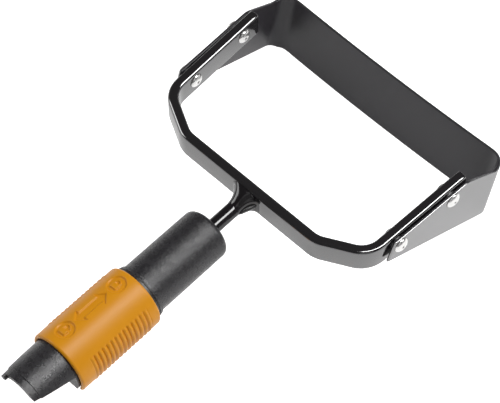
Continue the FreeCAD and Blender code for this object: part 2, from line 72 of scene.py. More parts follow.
BLADE_LOW, BLADE_HIGH = node_box("stirrup_blade")
YOKE_LOW, YOKE_HIGH = node_box("yoke_bar")
SHANK_HIGH = node_box("shank_rod")[1]
BARREL_LOW, BARREL_HIGH = node_box("barrel")
SLEEVE_LOW, SLEEVE_HIGH = node_box("locking_sleeve")

# lengths below are in millimetres; angles are in radians unless the name says degrees

# bent bar of the yoke
BAR_THICKNESS = 7.0
BAR_ROUNDING = 2.0
BACK_Y = SHANK_HIGH[1]
BACK_HALF = 56.6
CORNER_HALF = 89.05
DIAGONAL = math.radians(28)
SPLAY = math.radians(2.5)
BEND_RADIUS = 21.0
CORNER_Y = BACK_Y + (CORNER_HALF - BACK_HALF) * math.tan(DIAGONAL)
BAR_END_ROUNDING = 0.7

# shank, its flare into the bar and the beads
ROD_R = 5.0
ROD_TAIL_Y = 60.0
FLARE_Y = BACK_Y - 12.5
FLARE_SPREAD = 6.9
WEB_TOP = 10.5
WEB_DROP = 2.9
DIP_DEPTH = 3.6
LIP_RADIUS = 1.6
FOOT_RADIUS = 1.1

# blade strip
SHEET = 2.0
EAR_SPLAY = math.radians(2.3)
EAR_GAP = 1.1
WASHER_RADIUS = 5.0
BAND_TILT = math.tan(math.radians(13))
BAND_TOP = -9.0
EAR_TOP = 9.4
EAR_REAR_Y = 185.0
# (y, z) along the ear's upper outline, and at the rear of its lower one
EAR_UPPER = [(197.5, 10.0), (223.0, 9.1), (238.0, 8.9), (254.0, 8.4), (262.0, 8.4),
             (289.7, BAND_TOP)]
EAR_LOWER_REAR = (191.5, -5.5)
BEND_IN_BAND = 12.0
BAND_FROM_Y = 270.0
BAND_BOW = 1.4
BOW_HALF = 82.0
LOWER_TRIM = 0.35
STIRRUP_MIDDLE = (0.0, 230.0, 0.0)
BEVEL_DEPTH = 1.25
BEVEL_HEIGHT = 4.5
TOP_EDGE = 0.45
LOW_EDGE = 0.9

# rivets
RIVET_R = 2.5
DOME_HEIGHT = 2.4
INNER_DOME_HEIGHT = 2.23
INNER_DOME_SHARE = 0.93

# barrel
BARREL_R = 17.5
BARREL_FRONT_R = 17.3
COLLAR_R = 18.95
COLLAR_LAP = 2.6
NOSE_R = 4.5

# sleeve
SLEEVE_R = 21.5
BORE_R = 18.68
MOUTH_R = 19.5
RIM_R = 1.6
KNEE = 34.0
RIB_COUNT = 14
RIB_FIRST_Y = 13.8
RIB_PITCH = 3.38
RIB_HEIGHT = 1.25
RIB_SUNK = 0.85
MARK_DEPTH = 1.1
MARK_WALL = 0.8
MARKS_DEGREES = -13.5
PIT_R = 6.1
FRONT_PIT_Y = 56.0
REAR_PIT_Y = 13.6
SHACKLE_R = 1.7
SHACKLE_HALF = 0.42
SHACKLE_RISE = 1.2
SHACKLE_LIFT = 0.9
ARROW_Y = 34.6
ARROW_HALF = 12.8
ARROW_NECK = 7.6
SHAFT_HALF = 2.7
SHAFT_END = 8.2
UNDERSIDE_HEIGHT = 7.1
UNDERSIDE_SLOPE = 0.95


# ---- Mesh helpers --------------------------------------------------------------------------------

def make_piece(name, points, faces, material, body, replaced=(), sharp=35.0, second=None):
    """A mesh object from points in millimetres; faces are turned to point outwards if the volume
    inside them, the sum of a . (b x c) / 6 over the triangles of each face, comes out negative.
    second is (another material, a mask of the faces that take it)."""
    points = np.asarray(points, dtype=float)
    volume = 0.0
    for part in faces:
        a = points[part[:, 0]]
        for corner in range(1, part.shape[1] - 1):
            b = points[part[:, corner]]
            c = points[part[:, corner + 1]]
            volume += float(np.einsum("ij,ij->i", a, np.cross(b, c)).sum())
    order = -1 if volume < 0 else 1
    listed = [face for part in faces for face in part[:, ::order].tolist()]
    mesh = bpy.data.meshes.new(name)
    mesh.from_pydata((points * MM).tolist(), [], listed)
    mesh.polygons.foreach_set("use_smooth", np.ones(len(mesh.polygons), dtype=bool))
    mesh.update()
    mesh.set_sharp_from_angle(angle=math.radians(sharp))
    mesh.materials.append(material)
    if second:
        mesh.materials.append(second[0])
        mesh.polygons.foreach_set("material_index", second[1].astype(np.int32))
    piece = bpy.data.objects.new(name, mesh)
    bpy.context.scene.collection.objects.link(piece)
    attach(piece, body)
    if replaced:
        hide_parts(*replaced)
    return piece


def grid_faces(rows, columns, close_rows=False):
    """Quads between neighbouring rows and columns of a grid of points laid out row by row. Each row
    is a closed loop; with close_rows, the last row also joins the first."""
    row = np.arange(rows if close_rows else rows - 1)
    r, c = np.meshgrid(row, np.arange(columns), indexing="ij")
    nr, nc = (r + 1) % rows, (c + 1) % columns
    quads = np.stack([r * columns + c, nr * columns + c, nr * columns + nc, r * columns + nc], -1)
    return quads.reshape(-1, 4)


def tube(points):
    """Points and faces of a grid (row along the tube, column round it) closed by a pole at each end.
    The triangles round both poles wind with the quads."""
    rows, columns = points.shape[:2]
    poles = np.stack([points[0].mean(axis=0), points[-1].mean(axis=0)])
    here = np.arange(columns)
    there = np.roll(here, -1)
    last = (rows - 1) * columns
    first_pole = np.full(columns, rows * columns)
    start_fan = np.stack([here, there, first_pole], -1)
    end_fan = np.stack([there + last, here + last, first_pole + 1], -1)
    solid = np.concatenate([points.reshape(-1, 3), poles])
    return solid, [grid_faces(rows, columns), start_fan, end_fan]


def lathe(profile, columns):
    """Points of a profile of (radius, y) rows turned about the Y axis: x = r sin t, z = r cos t."""
    profile = np.asarray(profile, dtype=float)
    t = np.linspace(0, 2 * np.pi, columns, endpoint=False)
    r = profile[:, :1]
    return np.stack([r * np.sin(t), np.repeat(profile[:, 1:], columns, axis=1), r * np.cos(t)], -1)


def arc(centre, radius, start, end, count):
    """Points (a, b) on an arc between two angles in degrees: centre + radius (cos t, sin t)."""
    t = np.radians(np.linspace(start, end, count))
    return np.stack([centre[0] + radius * np.cos(t), centre[1] + radius * np.sin(t)], -1)


def rounded_edge(distance, reach, power=2.4):
    """Share of full thickness at a distance inside an edge: a superellipse quarter from 0 to 1."""
    t = np.clip(distance / reach, 0, 1)
    return (1 - (1 - t) ** power) ** (1 / power)


def edge_steps(reach, count=6):
    """Distances from an edge, close together at the edge: reach times (1 - cos) of a quarter turn."""
    return reach * (1 - np.cos(np.linspace(0, np.pi / 2, count)))


def plan_path(half_corners, radius, spacing):
    """Plan path through corners on the right and their mirror images on the left, each inner corner
    an arc of the radius, without doubled points; returns points and unit tangents."""
    corners = half_corners + [(-x, y) for x, y in reversed(half_corners)]
    path, tangent = filleted_path(corners, radius, spacing)
    apart = np.linalg.norm(np.diff(path, axis=0), axis=1) > 1e-4
    keep = np.concatenate([[True], apart])
    return path[keep], tangent[keep]


def filleted_path(corners, radius, spacing):
    """Open plan path through corners, each inner corner an arc of the radius; returns points and
    unit tangents. Arcs have a point every 2 degrees, runs one every spacing."""
    corners = np.asarray(corners, dtype=float)
    points, tangents = [], []
    start = corners[0]
    for index in range(1, len(corners)):
        along = corners[index] - corners[index - 1]
        along /= np.linalg.norm(along)
        end = corners[index]
        if index < len(corners) - 1:
            onward = corners[index + 1] - corners[index]
            onward /= np.linalg.norm(onward)
            turn = math.atan2(along[0] * onward[1] - along[1] * onward[0], along @ onward)
            end = corners[index] - along * radius * math.tan(abs(turn) / 2)
        count = max(2, int(np.linalg.norm(end - start) / spacing) + 1)
        t = np.linspace(0, 1, count)[:, None]
        points.append(start + (end - start) * t)
        tangents.append(np.repeat(along[None], count, axis=0))
        if index < len(corners) - 1:
            side = math.copysign(1, turn)
            normal = np.array([-along[1], along[0]]) * side
            centre = end + normal * radius
            steps = np.linspace(0, turn, max(3, int(abs(math.degrees(turn)) / 2)))[1:-1, None]
            spoke = end - centre
            cos, sin = np.cos(steps), np.sin(steps)
            points.append(centre + np.hstack([spoke[0] * cos - spoke[1] * sin,
                                              spoke[0] * sin + spoke[1] * cos]))
            tangents.append(np.hstack([along[0] * cos - along[1] * sin,
                                       along[0] * sin + along[1] * cos]))
            start = centre + np.array([spoke[0] * math.cos(turn) - spoke[1] * math.sin(turn),
                                       spoke[0] * math.sin(turn) + spoke[1] * math.cos(turn)])
    return np.concatenate(points), np.concatenate(tangents)


# ---- Finishes ------------------------------------------------------------------------------------

def shader_group(name, inputs, outputs):
    """An empty shader node group with named float, vector or colour sockets."""
    group = bpy.data.node_groups.new(name, "ShaderNodeTree")
    kinds = {"value": "NodeSocketFloat", "vector": "NodeSocketVector", "colour": "NodeSocketColor"}
    for label, kind, default in inputs:
        socket = group.interface.new_socket(label, in_out="INPUT", socket_type=kinds[kind])
        if default is not None:
            socket.default_value = default
    for label, kind in outputs:
        group.interface.new_socket(label, in_out="OUTPUT", socket_type=kinds[kind])
    return group, group.nodes.new("NodeGroupInput"), group.nodes.new("NodeGroupOutput")


def math_node(tree, operation, first, second):
    """A Math node; each of its two values is a socket or a number."""
    node = tree.nodes.new("ShaderNodeMath")
    node.operation = operation
    for socket, value in zip(node.inputs, (first, second)):
        if isinstance(value, (int, float)):
            socket.default_value = value
        else:
            tree.links.new(value, socket)
    return node.outputs[0]


def noise_node(tree, vector, scale, detail):
    """A noise texture on a vector, its scale from a socket."""
    node = tree.nodes.new("ShaderNodeTexNoise")
    node.inputs["Detail"].default_value = detail
    node.inputs["Roughness"].default_value = 0.55
    tree.links.new(vector, node.inputs["Vector"])
    tree.links.new(scale, node.inputs["Scale"])
    return node.outputs["Fac"]


def build_grain_group():
    """Moulded or painted skin: fine noise plus a third of noise four times coarser, as a height,
    and slow blotches as a mask."""
    group, ins, outs = shader_group(
        "surface_grain",
        [("Vector", "vector", None), ("Grain Scale", "value", 1500.0), ("Blotch Scale", "value", 40.0)],
        [("Height", "value"), ("Blotch", "value")])
    fine = noise_node(group, ins.outputs["Vector"], ins.outputs["Grain Scale"], 3.0)
    wide_scale = math_node(group, "MULTIPLY", ins.outputs["Grain Scale"], 0.25)
    wide = noise_node(group, ins.outputs["Vector"], wide_scale, 2.0)
    third = math_node(group, "MULTIPLY", wide, 0.34)
    height = math_node(group, "ADD", fine, third)
    group.links.new(height, outs.inputs["Height"])
    blotch = noise_node(group, ins.outputs["Vector"], ins.outputs["Blotch Scale"], 4.0)
    group.links.new(blotch, outs.inputs["Blotch"])
    return group


def blotch_swing(group, ins):
    """The blotches about zero, times the group's Amount."""
    centred = math_node(group, "SUBTRACT", ins.outputs["Blotch"], 0.5)
    return math_node(group, "MULTIPLY", centred, ins.outputs["Amount"])


def build_tone_group():
    """Colour of a surface: the base darkened or lightened a little where the blotches lie."""
    group, ins, outs = shader_group(
        "tone_variation",
        [("Base", "colour", (0.5, 0.5, 0.5, 1)), ("Blotch", "value", 0.5), ("Amount", "value", 0.1)],
        [("Color", "colour")])
    level = math_node(group, "ADD", blotch_swing(group, ins), 1.0)
    scaled = group.nodes.new("ShaderNodeVectorMath")
    scaled.operation = "SCALE"
    group.links.new(ins.outputs["Base"], scaled.inputs[0])
    group.links.new(level, scaled.inputs["Scale"])
    group.links.new(scaled.outputs[0], outs.inputs["Color"])
    return group


def build_gloss_group():
    """Roughness of a surface: a middle value moved by the blotches, kept between 0.03 and 1."""
    group, ins, outs = shader_group(
        "gloss_variation",
        [("Roughness", "value", 0.4), ("Blotch", "value", 0.5), ("Amount", "value", 0.1)],
        [("Roughness", "value")])
    level = math_node(group, "ADD", blotch_swing(group, ins), ins.outputs["Roughness"])
    low = math_node(group, "MAXIMUM", level, 0.03)
    group.links.new(math_node(group, "MINIMUM", low, 1.0), outs.inputs["Roughness"])
    return group


GRAIN = build_grain_group()
TONE = build_tone_group()
GLOSS = build_gloss_group()


def group_node(tree, group, values):
    """A node that uses a shared group, its named inputs set to plain values."""
    node = tree.nodes.new("ShaderNodeGroup")
    node.node_tree = group
    for label, value in values.items():
        node.inputs[label].default_value = value
    return node


def finish_material(name, base, roughness, grain_scale, grain_depth, blotch_scale=40.0, tone=0.12,
                    gloss=0.1, metallic=0.0, ior=1.5):
    """A material of one finish: grain as bump, blotches in tone and gloss, on Object coordinates.
    grain_depth is in millimetres."""
    material = bpy.data.materials.new(name)
    material.use_nodes = True
    tree = material.node_tree
    link = tree.links.new
    shader = tree.nodes["Principled BSDF"]
    shader.inputs["Metallic"].default_value = metallic
    shader.inputs["IOR"].default_value = ior
    place = tree.nodes.new("ShaderNodeTexCoord")
    grain = group_node(tree, GRAIN, {"Grain Scale": grain_scale, "Blotch Scale": blotch_scale})
    colour = group_node(tree, TONE, {"Base": (*base, 1.0), "Amount": tone})
    shine = group_node(tree, GLOSS, {"Roughness": roughness, "Amount": gloss})
    bump = tree.nodes.new("ShaderNodeBump")
    bump.inputs["Strength"].default_value = 1.0
    bump.inputs["Distance"].default_value = grain_depth * MM
    link(place.outputs["Object"], grain.inputs["Vector"])
    link(grain.outputs["Blotch"], colour.inputs["Blotch"])
    link(grain.outputs["Blotch"], shine.inputs["Blotch"])
    link(grain.outputs["Height"], bump.inputs["Height"])
    link(colour.outputs["Color"], shader.inputs["Base Color"])
    link(shine.outputs["Roughness"], shader.inputs["Roughness"])
    link(bump.outputs["Normal"], shader.inputs["Normal"])
    return material


# name, base colour, roughness, grain scale and grain depth of each finish
yoke_paint = finish_material("gloss_black_paint", (0.010, 0.009, 0.010), 0.09, 420, 0.006,
                             gloss=0.06, ior=2.4)
shank_paint = finish_material("shank_black_paint", (0.008, 0.007, 0.008), 0.12, 420, 0.01,
                              gloss=0.08, ior=1.6)
weld_paint = finish_material("painted_weld", (0.012, 0.011, 0.012), 0.2, 900, 0.06,
                             ior=1.8)
blade_paint = finish_material("satin_black_blade", (0.034, 0.032, 0.035), 0.2, 600, 0.006,
                              blotch_scale=22, gloss=0.12, ior=3.1)
# the strip's inner faces take a darker, less reflective copy of the blade paint: painted shade for the
# inside of the loop, which the loop itself shades
painted_shade_blade_inside = finish_material("blade_inside_painted_shade", (0.026, 0.024, 0.028), 0.32, 700, 0.008,
                               blotch_scale=22, gloss=0.12, ior=1.4)
rivet_steel = finish_material("bright_rivet_steel", (0.80, 0.79, 0.78), 0.24, 1400, 0.05,
                              gloss=0.2, metallic=0.85)
washer_steel = finish_material("dull_washer_steel", (0.20, 0.20, 0.20), 0.45, 1400, 0.02,
                               metallic=1.0)
barrel_plastic = finish_material("charcoal_barrel_plastic", (0.020, 0.019, 0.021), 0.28, 1900, 0.22,
                                 blotch_scale=330, tone=0.5, gloss=0.4)
core_plastic = finish_material("charcoal_core_plastic", (0.020, 0.019, 0.021), 0.29, 1900, 0.18,
                               blotch_scale=330, tone=0.5, gloss=0.35, ior=1.6)
bush_plastic = finish_material("black_bush_plastic", (0.02, 0.02, 0.02), 0.4, 1500, 0.03)
sleeve_plastic = finish_material("orange_sleeve_plastic", (0.60, 0.243, 0.007), 0.36, 1300, 0.02,
                                 blotch_scale=55, tone=0.08, gloss=0.08, ior=1.33)
pin_steel = finish_material("pin_steel", (0.55, 0.54, 0.52), 0.28, 1200, 0.01, metallic=1.0)
ring_steel = finish_material("snap_ring_steel", (0.40, 0.39, 0.38), 0.3, 1200, 0.01, metallic=1.0)
seal_rubber = finish_material("seal_rubber", (0.015, 0.015, 0.015), 0.6, 1500, 0.03)


# ---- Yoke ----------------------------------------------------------------------------------------

def rounded_section(half_wide, half_high, radius, inset):
    """A rectangle with rounded corners, shrunk by an inset, as (wide, high) points round it."""
    r = max(radius - inset, 0.05)
    a, b = half_wide - inset - r, half_high - inset - r
    corners = [arc((a * sx, b * sz), r, start, start + 90, 9)
               for sx, sz, start in ((1, 1, 0), (-1, 1, 90), (-1, -1, 180), (1, -1, 270))]
    return np.concatenate(corners)


def build_yoke():
    """The bar's rounded section carried along its plan path; at both ends the section shrinks
    along a quarter circle, so the ends have rounded edges."""
    half = BAR_THICKNESS / 2
    low, high = YOKE_LOW[2], YOKE_HIGH[2]
    middle_z, half_high = (high + low) / 2, (high - low) / 2
    bisector = (math.pi / 2 - SPLAY + DIAGONAL) / 2
    half_turn = (math.pi / 2 - SPLAY - DIAGONAL) / 2
    corner = (CORNER_HALF - half / math.cos(half_turn) * math.sin(bisector),
              CORNER_Y + half / math.cos(half_turn) * math.cos(bisector))
    back = (BACK_HALF - half * math.tan(DIAGONAL / 2), BACK_Y + half)
    arm_y = YOKE_HIGH[1] - half * math.sin(SPLAY)
    arm = (corner[0] + (arm_y - corner[1]) * math.tan(SPLAY), arm_y)
    path, tangent = plan_path([arm, corner, back], BEND_RADIUS - half, 4.0)
    steps = edge_steps(BAR_END_ROUNDING)
    lead = np.concatenate([path[0] + tangent[0] * steps[:-1, None], path[1:-1],
                           path[-1] - tangent[-1] * steps[-2::-1, None]])
    extra = len(steps) - 1
    along = np.concatenate([np.repeat(tangent[:1], extra, axis=0), tangent[1:-1],
                            np.repeat(tangent[-1:], extra, axis=0)])
    insets = BAR_END_ROUNDING * (1 - rounded_edge(steps[:-1], BAR_END_ROUNDING, 2.0))
    inset = np.concatenate([insets, np.zeros(len(path) - 2), insets[::-1]])
    side = np.stack([along[:, 1], -along[:, 0]], -1)
    sections = np.stack([rounded_section(half, half_high, BAR_ROUNDING, i) for i in inset])
    plan = lead[:, None] + side[:, None] * sections[..., :1]
    solid, faces = tube(np.concatenate([plan, sections[..., 1:] + middle_z], -1))
    make_piece("yoke_bent_bar", solid, faces, yoke_paint, "head", ["yoke_bar"])


build_yoke()


# ---- Blade ---------------------------------------------------------------------------------------

def ear_x(plan_y):
    """Half the width between the middles of the ears' sheets, at a plan station."""
    rivet_y = node_box("washer_rear_right")[0][1] + WASHER_RADIUS
    arm = CORNER_HALF + (rivet_y - CORNER_Y) * math.tan(SPLAY)
    return arm + EAR_GAP + SHEET / 2 + (plan_y - rivet_y) * math.tan(EAR_SPLAY)


def slid(values, width, spacing):
    """A curve run through a sliding average twice, its ends held."""
    count = max(3, int(width / spacing) | 1)
    window = np.ones(count) / count
    for _ in range(2):
        padded = np.concatenate([np.full(count, values[0]), values, np.full(count, values[-1])])
        values = np.convolve(padded, window, mode="same")[count:-count]
    return values


def build_blade():
    """A strip whose plan path runs up the right ear, round a bend, across the band and back. A
    station is a straight line from the upper outline to the lower one; height z is carried along
    the strip's lean, y = plan_y + (z - EAR_TOP) tilt. Each of two sheets lies half a thickness off
    the middle, and both meet along a rounded edge."""
    outer_y = BLADE_HIGH[1] + (EAR_TOP - BAND_TOP) * BAND_TILT
    band_y = outer_y - SHEET / 2
    right = [(ear_x(EAR_REAR_Y), EAR_REAR_Y), (ear_x(band_y), band_y)]
    path, tangent = plan_path(right, BEND_IN_BAND - SHEET / 2, 1.5)
    run = np.concatenate([[0], np.cumsum(np.linalg.norm(np.diff(path, axis=0), axis=1))])
    total = run[-1]
    band_low = BLADE_LOW[2] + LOWER_TRIM

    def at(y, z):
        """Distance along the strip of an ear point (y, z)."""
        return (y - (z - EAR_TOP) * BAND_TILT - EAR_REAR_Y) / math.cos(EAR_SPLAY)

    lower_front = (BLADE_HIGH[1] + (band_low - BAND_TOP) * BAND_TILT - SHEET, band_low)
    start_top, start_low = at(*EAR_UPPER[0]), at(*EAR_LOWER_REAR)
    inner = np.linspace(0, 1, 420)
    ends = np.concatenate([edge_steps(1.0)[:-1], [1.0]]) / total
    share = np.concatenate([ends[:-1], ends[-1] + inner * (1 - 2 * ends[-1]), 1 - ends[-2::-1]])
    top_run = start_top + share * (total - 2 * start_top)
    low_run = start_low + share * (total - 2 * start_low)
    folded_top = np.minimum(top_run, total - top_run)
    folded_low = np.minimum(low_run, total - low_run)
    ease = np.linspace(start_top, total / 2, 1200)
    spacing = ease[1] - ease[0]
    outline = np.interp(ease, [at(*point) for point in EAR_UPPER], [z for _, z in EAR_UPPER])
    top_z = np.interp(folded_top, ease, slid(outline, 5.0, spacing))
    low_z = np.interp(folded_low, [start_low, at(*lower_front)], [EAR_LOWER_REAR[1], band_low])
    height = top_z - low_z
    steps = edge_steps(LOW_EDGE)
    middle = np.linspace(0, 1, 16)[1:-1]
    share_down = np.concatenate([
        steps / height[:, None],
        (LOW_EDGE + middle * (height[:, None] - 2 * LOW_EDGE)) / height[:, None],
        1 - steps[::-1] / height[:, None]], axis=1)
    along = top_run[:, None] + (low_run - top_run)[:, None] * share_down
    z = top_z[:, None] - height[:, None] * share_down
    plan_x = np.interp(along, run, path[:, 0])
    plan_y = np.interp(along, run, path[:, 1])
    tx = np.interp(along, run, tangent[:, 0])
    ty = np.interp(along, run, tangent[:, 1])
    size = np.hypot(tx, ty)
    tx, ty = tx / size, ty / size
    in_band = plan_y > BAND_FROM_Y
    bow = BAND_BOW * np.clip(1 - (plan_x / BOW_HALF) ** 2, 0, 1) * in_band
    middle_sheet = np.stack([plan_x, plan_y + (z - EAR_TOP) * BAND_TILT - bow, z], -1)
    lean = np.stack([np.zeros_like(tx), np.full_like(tx, BAND_TILT), np.ones_like(tx)], -1)
    normal = np.cross(np.stack([tx, ty, np.zeros_like(tx)], -1), lean)
    normal /= np.linalg.norm(normal, axis=-1, keepdims=True)
    outward = np.sign((normal * (middle_sheet - STIRRUP_MIDDLE))[..., :2].sum(-1, keepdims=True))
    normal = normal * np.sign(np.median(outward))
    down = height[:, None] * share_down
    from_low = height[:, None] - down
    from_end = np.minimum(share, 1 - share)[:, None] * total
    off_bend = np.abs(ear_x(260) - np.abs(plan_x)) - 3
    bevelled = np.clip(off_bend / 12, 0, 1) * in_band
    outer = SHEET / 2 - BEVEL_DEPTH * np.clip(1 - from_low / BEVEL_HEIGHT, 0, 1) * bevelled
    centre, half = (outer - SHEET / 2) / 2, (outer + SHEET / 2) / 2
    edge = (rounded_edge(down, TOP_EDGE) * rounded_edge(from_low, LOW_EDGE)
            * rounded_edge(from_end, LOW_EDGE))
    sheets = [middle_sheet + normal * (centre + half * edge * side)[..., None] for side in (1, -1)]
    rows, columns = sheets[0].shape[:2]
    loop = np.concatenate([sheets[0], sheets[1][:, -2:0:-1]], axis=1)
    points, span = loop.reshape(-1, 3), loop.shape[1]
    # the two sheets coincide along each end row, so the loop there closes on itself
    pairs = np.arange(1, columns - 1)
    target = np.arange(len(points))
    for row in (0, rows - 1):
        target[row * span + span - pairs] = row * span + pairs
    faces = [target[grid_faces(rows, span)]]
    # faces of the inner sheet, which take the darker copy of the blade paint as painted shade
    inside = np.tile(np.arange(span) >= columns - 1, rows - 1)
    make_piece("stirrup_blade_strip", points, faces, blade_paint, "head",
               ["stirrup_blade"], second=(painted_shade_blade_inside, inside))


build_blade()


# ---- Shank and its welds -------------------------------------------------------------------------

def flare_width(y):
    """Half width of the flare: the rod's radius plus a quarter circle, R - sqrt(R^2 - d^2), that
    opens towards the bar."""
    share = np.clip((y - FLARE_Y) / (BACK_Y - FLARE_Y), 0, 0.999)
    return ROD_R + FLARE_SPREAD * (1 - np.sqrt(1 - share ** 2))


def build_shank():
    """Superellipse sections along Y: a round rod that flares into the bar's back. The sections grow
    squarer towards the bar and rise to its top; the right half stays lower, as a shallow dip."""
    y = np.concatenate([ROD_TAIL_Y + np.array([0.0, 0.2, 0.6, 1.2]),
                        np.linspace(ROD_TAIL_Y + 4, FLARE_Y - 1, 24),
                        np.linspace(FLARE_Y, BACK_Y, 34)])
    share = np.clip((y - FLARE_Y) / (BACK_Y - FLARE_Y), 0, 1)[:, None]
    chamfer = np.array([0.8, 0.3, 0.1] + [0.0] * (len(y) - 3))[:, None]
    wide = flare_width(y)[:, None] - chamfer
    t = np.linspace(0, 2 * np.pi, 96, endpoint=False)
    cos, sin = np.cos(t), np.sin(t)
    power = 2 / (2 + 2.6 * share ** 2)
    x = wide * np.sign(cos) * np.abs(cos) ** power
    up = ROD_R - chamfer + (WEB_TOP - ROD_R) * np.sin(share * np.pi / 2) ** 1.5
    dip = np.clip((x / wide - 0.25) / 0.45, 0, 1)
    up = up - DIP_DEPTH * share * dip ** 2 * (3 - 2 * dip)
    down = ROD_R - chamfer + WEB_DROP * share ** 2
    z = np.where(sin > 0, up, down) * np.sign(sin) * np.abs(sin) ** power
    points = np.stack([x, np.repeat(y[:, None], len(t), axis=1), z], -1)
    solid, faces = tube(points)
    make_piece("shank_flared_rod", solid, faces, shank_paint, "head", ["shank_rod"])


def build_bead(name, path, thick, node):
    """A weld bead: a tube along a path, its radius rippled by a sine along its length and falling
    to nothing at both ends."""
    tangent = np.gradient(path, axis=0)
    tangent /= np.linalg.norm(tangent, axis=1, keepdims=True)
    sideways = np.cross(tangent, [0, 0, 1])
    sideways /= np.linalg.norm(sideways, axis=1, keepdims=True)
    upwards = np.cross(sideways, tangent)
    share = np.linspace(0, 1, len(path))
    fade = np.sqrt(np.clip(1 - (2 * share - 1) ** 6, 0, 1)) + 0.02
    radius = thick * fade * (1 + 0.04 * np.sin(share * 2 * np.pi * 12))
    around = np.linspace(0, 2 * np.pi, 24, endpoint=False)
    cos, sin = np.cos(around)[None, :, None], np.sin(around)[None, :, None]
    offset = sideways[:, None] * cos + upwards[:, None] * sin
    solid, faces = tube(path[:, None] + offset * radius[:, None, None])
    make_piece(name, solid, faces, weld_paint, "head", [node])


def right_lip():
    """Path of the right bead: along the flare's right edge, rising from the rod's side to the bar."""
    share = np.linspace(0, 1, 90)
    y = FLARE_Y + 1.5 + (BACK_Y - FLARE_Y - 1.8) * share
    bulge = 1.5 * np.sin(np.pi * share ** 1.4)
    return np.stack([flare_width(y) - 0.7 + bulge, y, -2.0 + 4.0 * np.sqrt(share)], -1)


def left_foot():
    """Path of the left bead: round the lower left of the flare's foot, against the bar's back."""
    t = np.radians(np.linspace(-84, -40, 60))
    return np.stack([-(ROD_R + FLARE_SPREAD) * np.cos(t), np.full_like(t, BACK_Y - 0.3),
                     (ROD_R + WEB_DROP) * np.sin(t)], -1)


build_shank()
build_bead("weld_ripple_right", right_lip(), LIP_RADIUS, "weld_bead_right")
build_bead("weld_ripple_left", left_foot(), FOOT_RADIUS, "weld_bead_left")


# ---- Rivets --------------------------------------------------------------------------------------

def rivet_profile(grip):
    """Rows (radius, depth) of a rivet: outer dome with a dimple, shank, inner dome with a dimple."""
    dome = np.array([(0.0, 1.3), (0.5, 1.36), (0.9, 1.7), (1.2, 2.12), (1.55, 2.36), (2.1, 2.36),
                     (2.9, 2.2), (3.7, 1.9), (4.4, 1.48), (4.95, 0.98), (5.28, 0.5), (5.4, 0.2),
                     (5.36, 0.02), (5.2, -0.02)])
    stem = np.array([(RIVET_R, -0.02), (RIVET_R, -grip + 0.02)])
    inner = dome[::-1] * [INNER_DOME_SHARE, -INNER_DOME_SHARE] + [0, -grip]
    return np.concatenate([dome, stem, inner])


def build_rivets():
    """Each rivet's profile turned about its own axis and laid square to its ear."""
    for side, side_word in ((1, "right"), (-1, "left")):
        for place in ("rear", "front"):
            node = f"rivet_{place}_{side_word}"
            low, high = node_box(node)
            centre_y, centre_z = (low[1] + high[1]) / 2, (low[2] + high[2]) / 2
            outer = (high[0] if side > 0 else -low[0]) - DOME_HEIGHT
            grip = (high[0] - low[0]) - DOME_HEIGHT - INNER_DOME_HEIGHT
            turned = lathe(rivet_profile(grip), 48)
            round_x, depth, round_z = turned[..., 0], turned[..., 1], turned[..., 2]
            x = outer + depth * math.cos(SPLAY) + round_x * math.sin(SPLAY)
            y = centre_y + round_x * math.cos(SPLAY) - depth * math.sin(SPLAY)
            points = np.stack([side * x, y, centre_z + round_z], -1)
            solid, faces = tube(points[1:-1])
            make_piece(f"domed_{node}", solid, faces, rivet_steel, "head", [node], 50.0)


build_rivets()


# ---- Barrel --------------------------------------------------------------------------------------

def build_barrel():
    """The barrel's skin: a collar at the rear that laps over the core, a slightly tapered cylinder,
    a round nose and a mouth that runs back to the bush."""
    start, end = BARREL_LOW[1], BARREL_HIGH[1]
    rear, straight_end = start - COLLAR_LAP, end - NOSE_R
    outside = [(14.1, rear), (COLLAR_R - 0.4, rear), (COLLAR_R - 0.1, rear + 0.1),
               (COLLAR_R, rear + 0.4), (COLLAR_R, rear + 1.0), (COLLAR_R - 0.15, rear + 1.3),
               (COLLAR_R - 0.6, rear + 1.45), (BARREL_R + 0.1, rear + 1.8),
               (BARREL_R - 0.05, rear + 2.3), (BARREL_R, start + 6),
               (BARREL_FRONT_R + 0.1, straight_end - 12), (BARREL_FRONT_R, straight_end - 2)]
    rounding = arc((straight_end, BARREL_FRONT_R - NOSE_R), NOSE_R, 90, 0, 14)[:, ::-1]
    mouth = [(6.2, end), (5.6, end - 0.15), (5.35, end - 0.6), (5.3, end - 7.6)]
    solid, faces = tube(lathe(np.concatenate([outside, rounding, mouth]), 128))
    make_piece("barrel_skin", solid, faces, barrel_plastic, "head", ["barrel"])


build_barrel()


# ---- Locking sleeve ------------------------------------------------------------------------------

def box_distance(u, w, half_u, half_w, rounding):
    """Signed distance to a rounded rectangle centred at the origin."""
    du, dw = np.abs(u) - half_u + rounding, np.abs(w) - half_w + rounding
    outside = np.hypot(np.maximum(du, 0), np.maximum(dw, 0))
    return outside + np.minimum(np.maximum(du, dw), 0) - rounding


def padlock_distance(u, w, lifted):
    """Signed distance to a padlock: a rounded body and a half-ring shackle with two legs; an open
    one has its shackle lifted and one leg short."""
    body = box_distance(u, w + 1.5, 2.7, 1.9, 0.5)
    rise = w - lifted
    ring = np.abs(np.hypot(u, rise - SHACKLE_RISE) - SHACKLE_R) - SHACKLE_HALF
    arch = np.maximum(ring, SHACKLE_RISE - rise)
    legs = np.maximum(np.abs(np.abs(u) - SHACKLE_R) - SHACKLE_HALF,
                      np.maximum(-0.6 - w, rise - SHACKLE_RISE - 0.1))
    if lifted:
        legs = np.where(u > 0, np.maximum(legs, 1.9 - w), legs)
    return np.minimum(body, np.minimum(arch, legs))


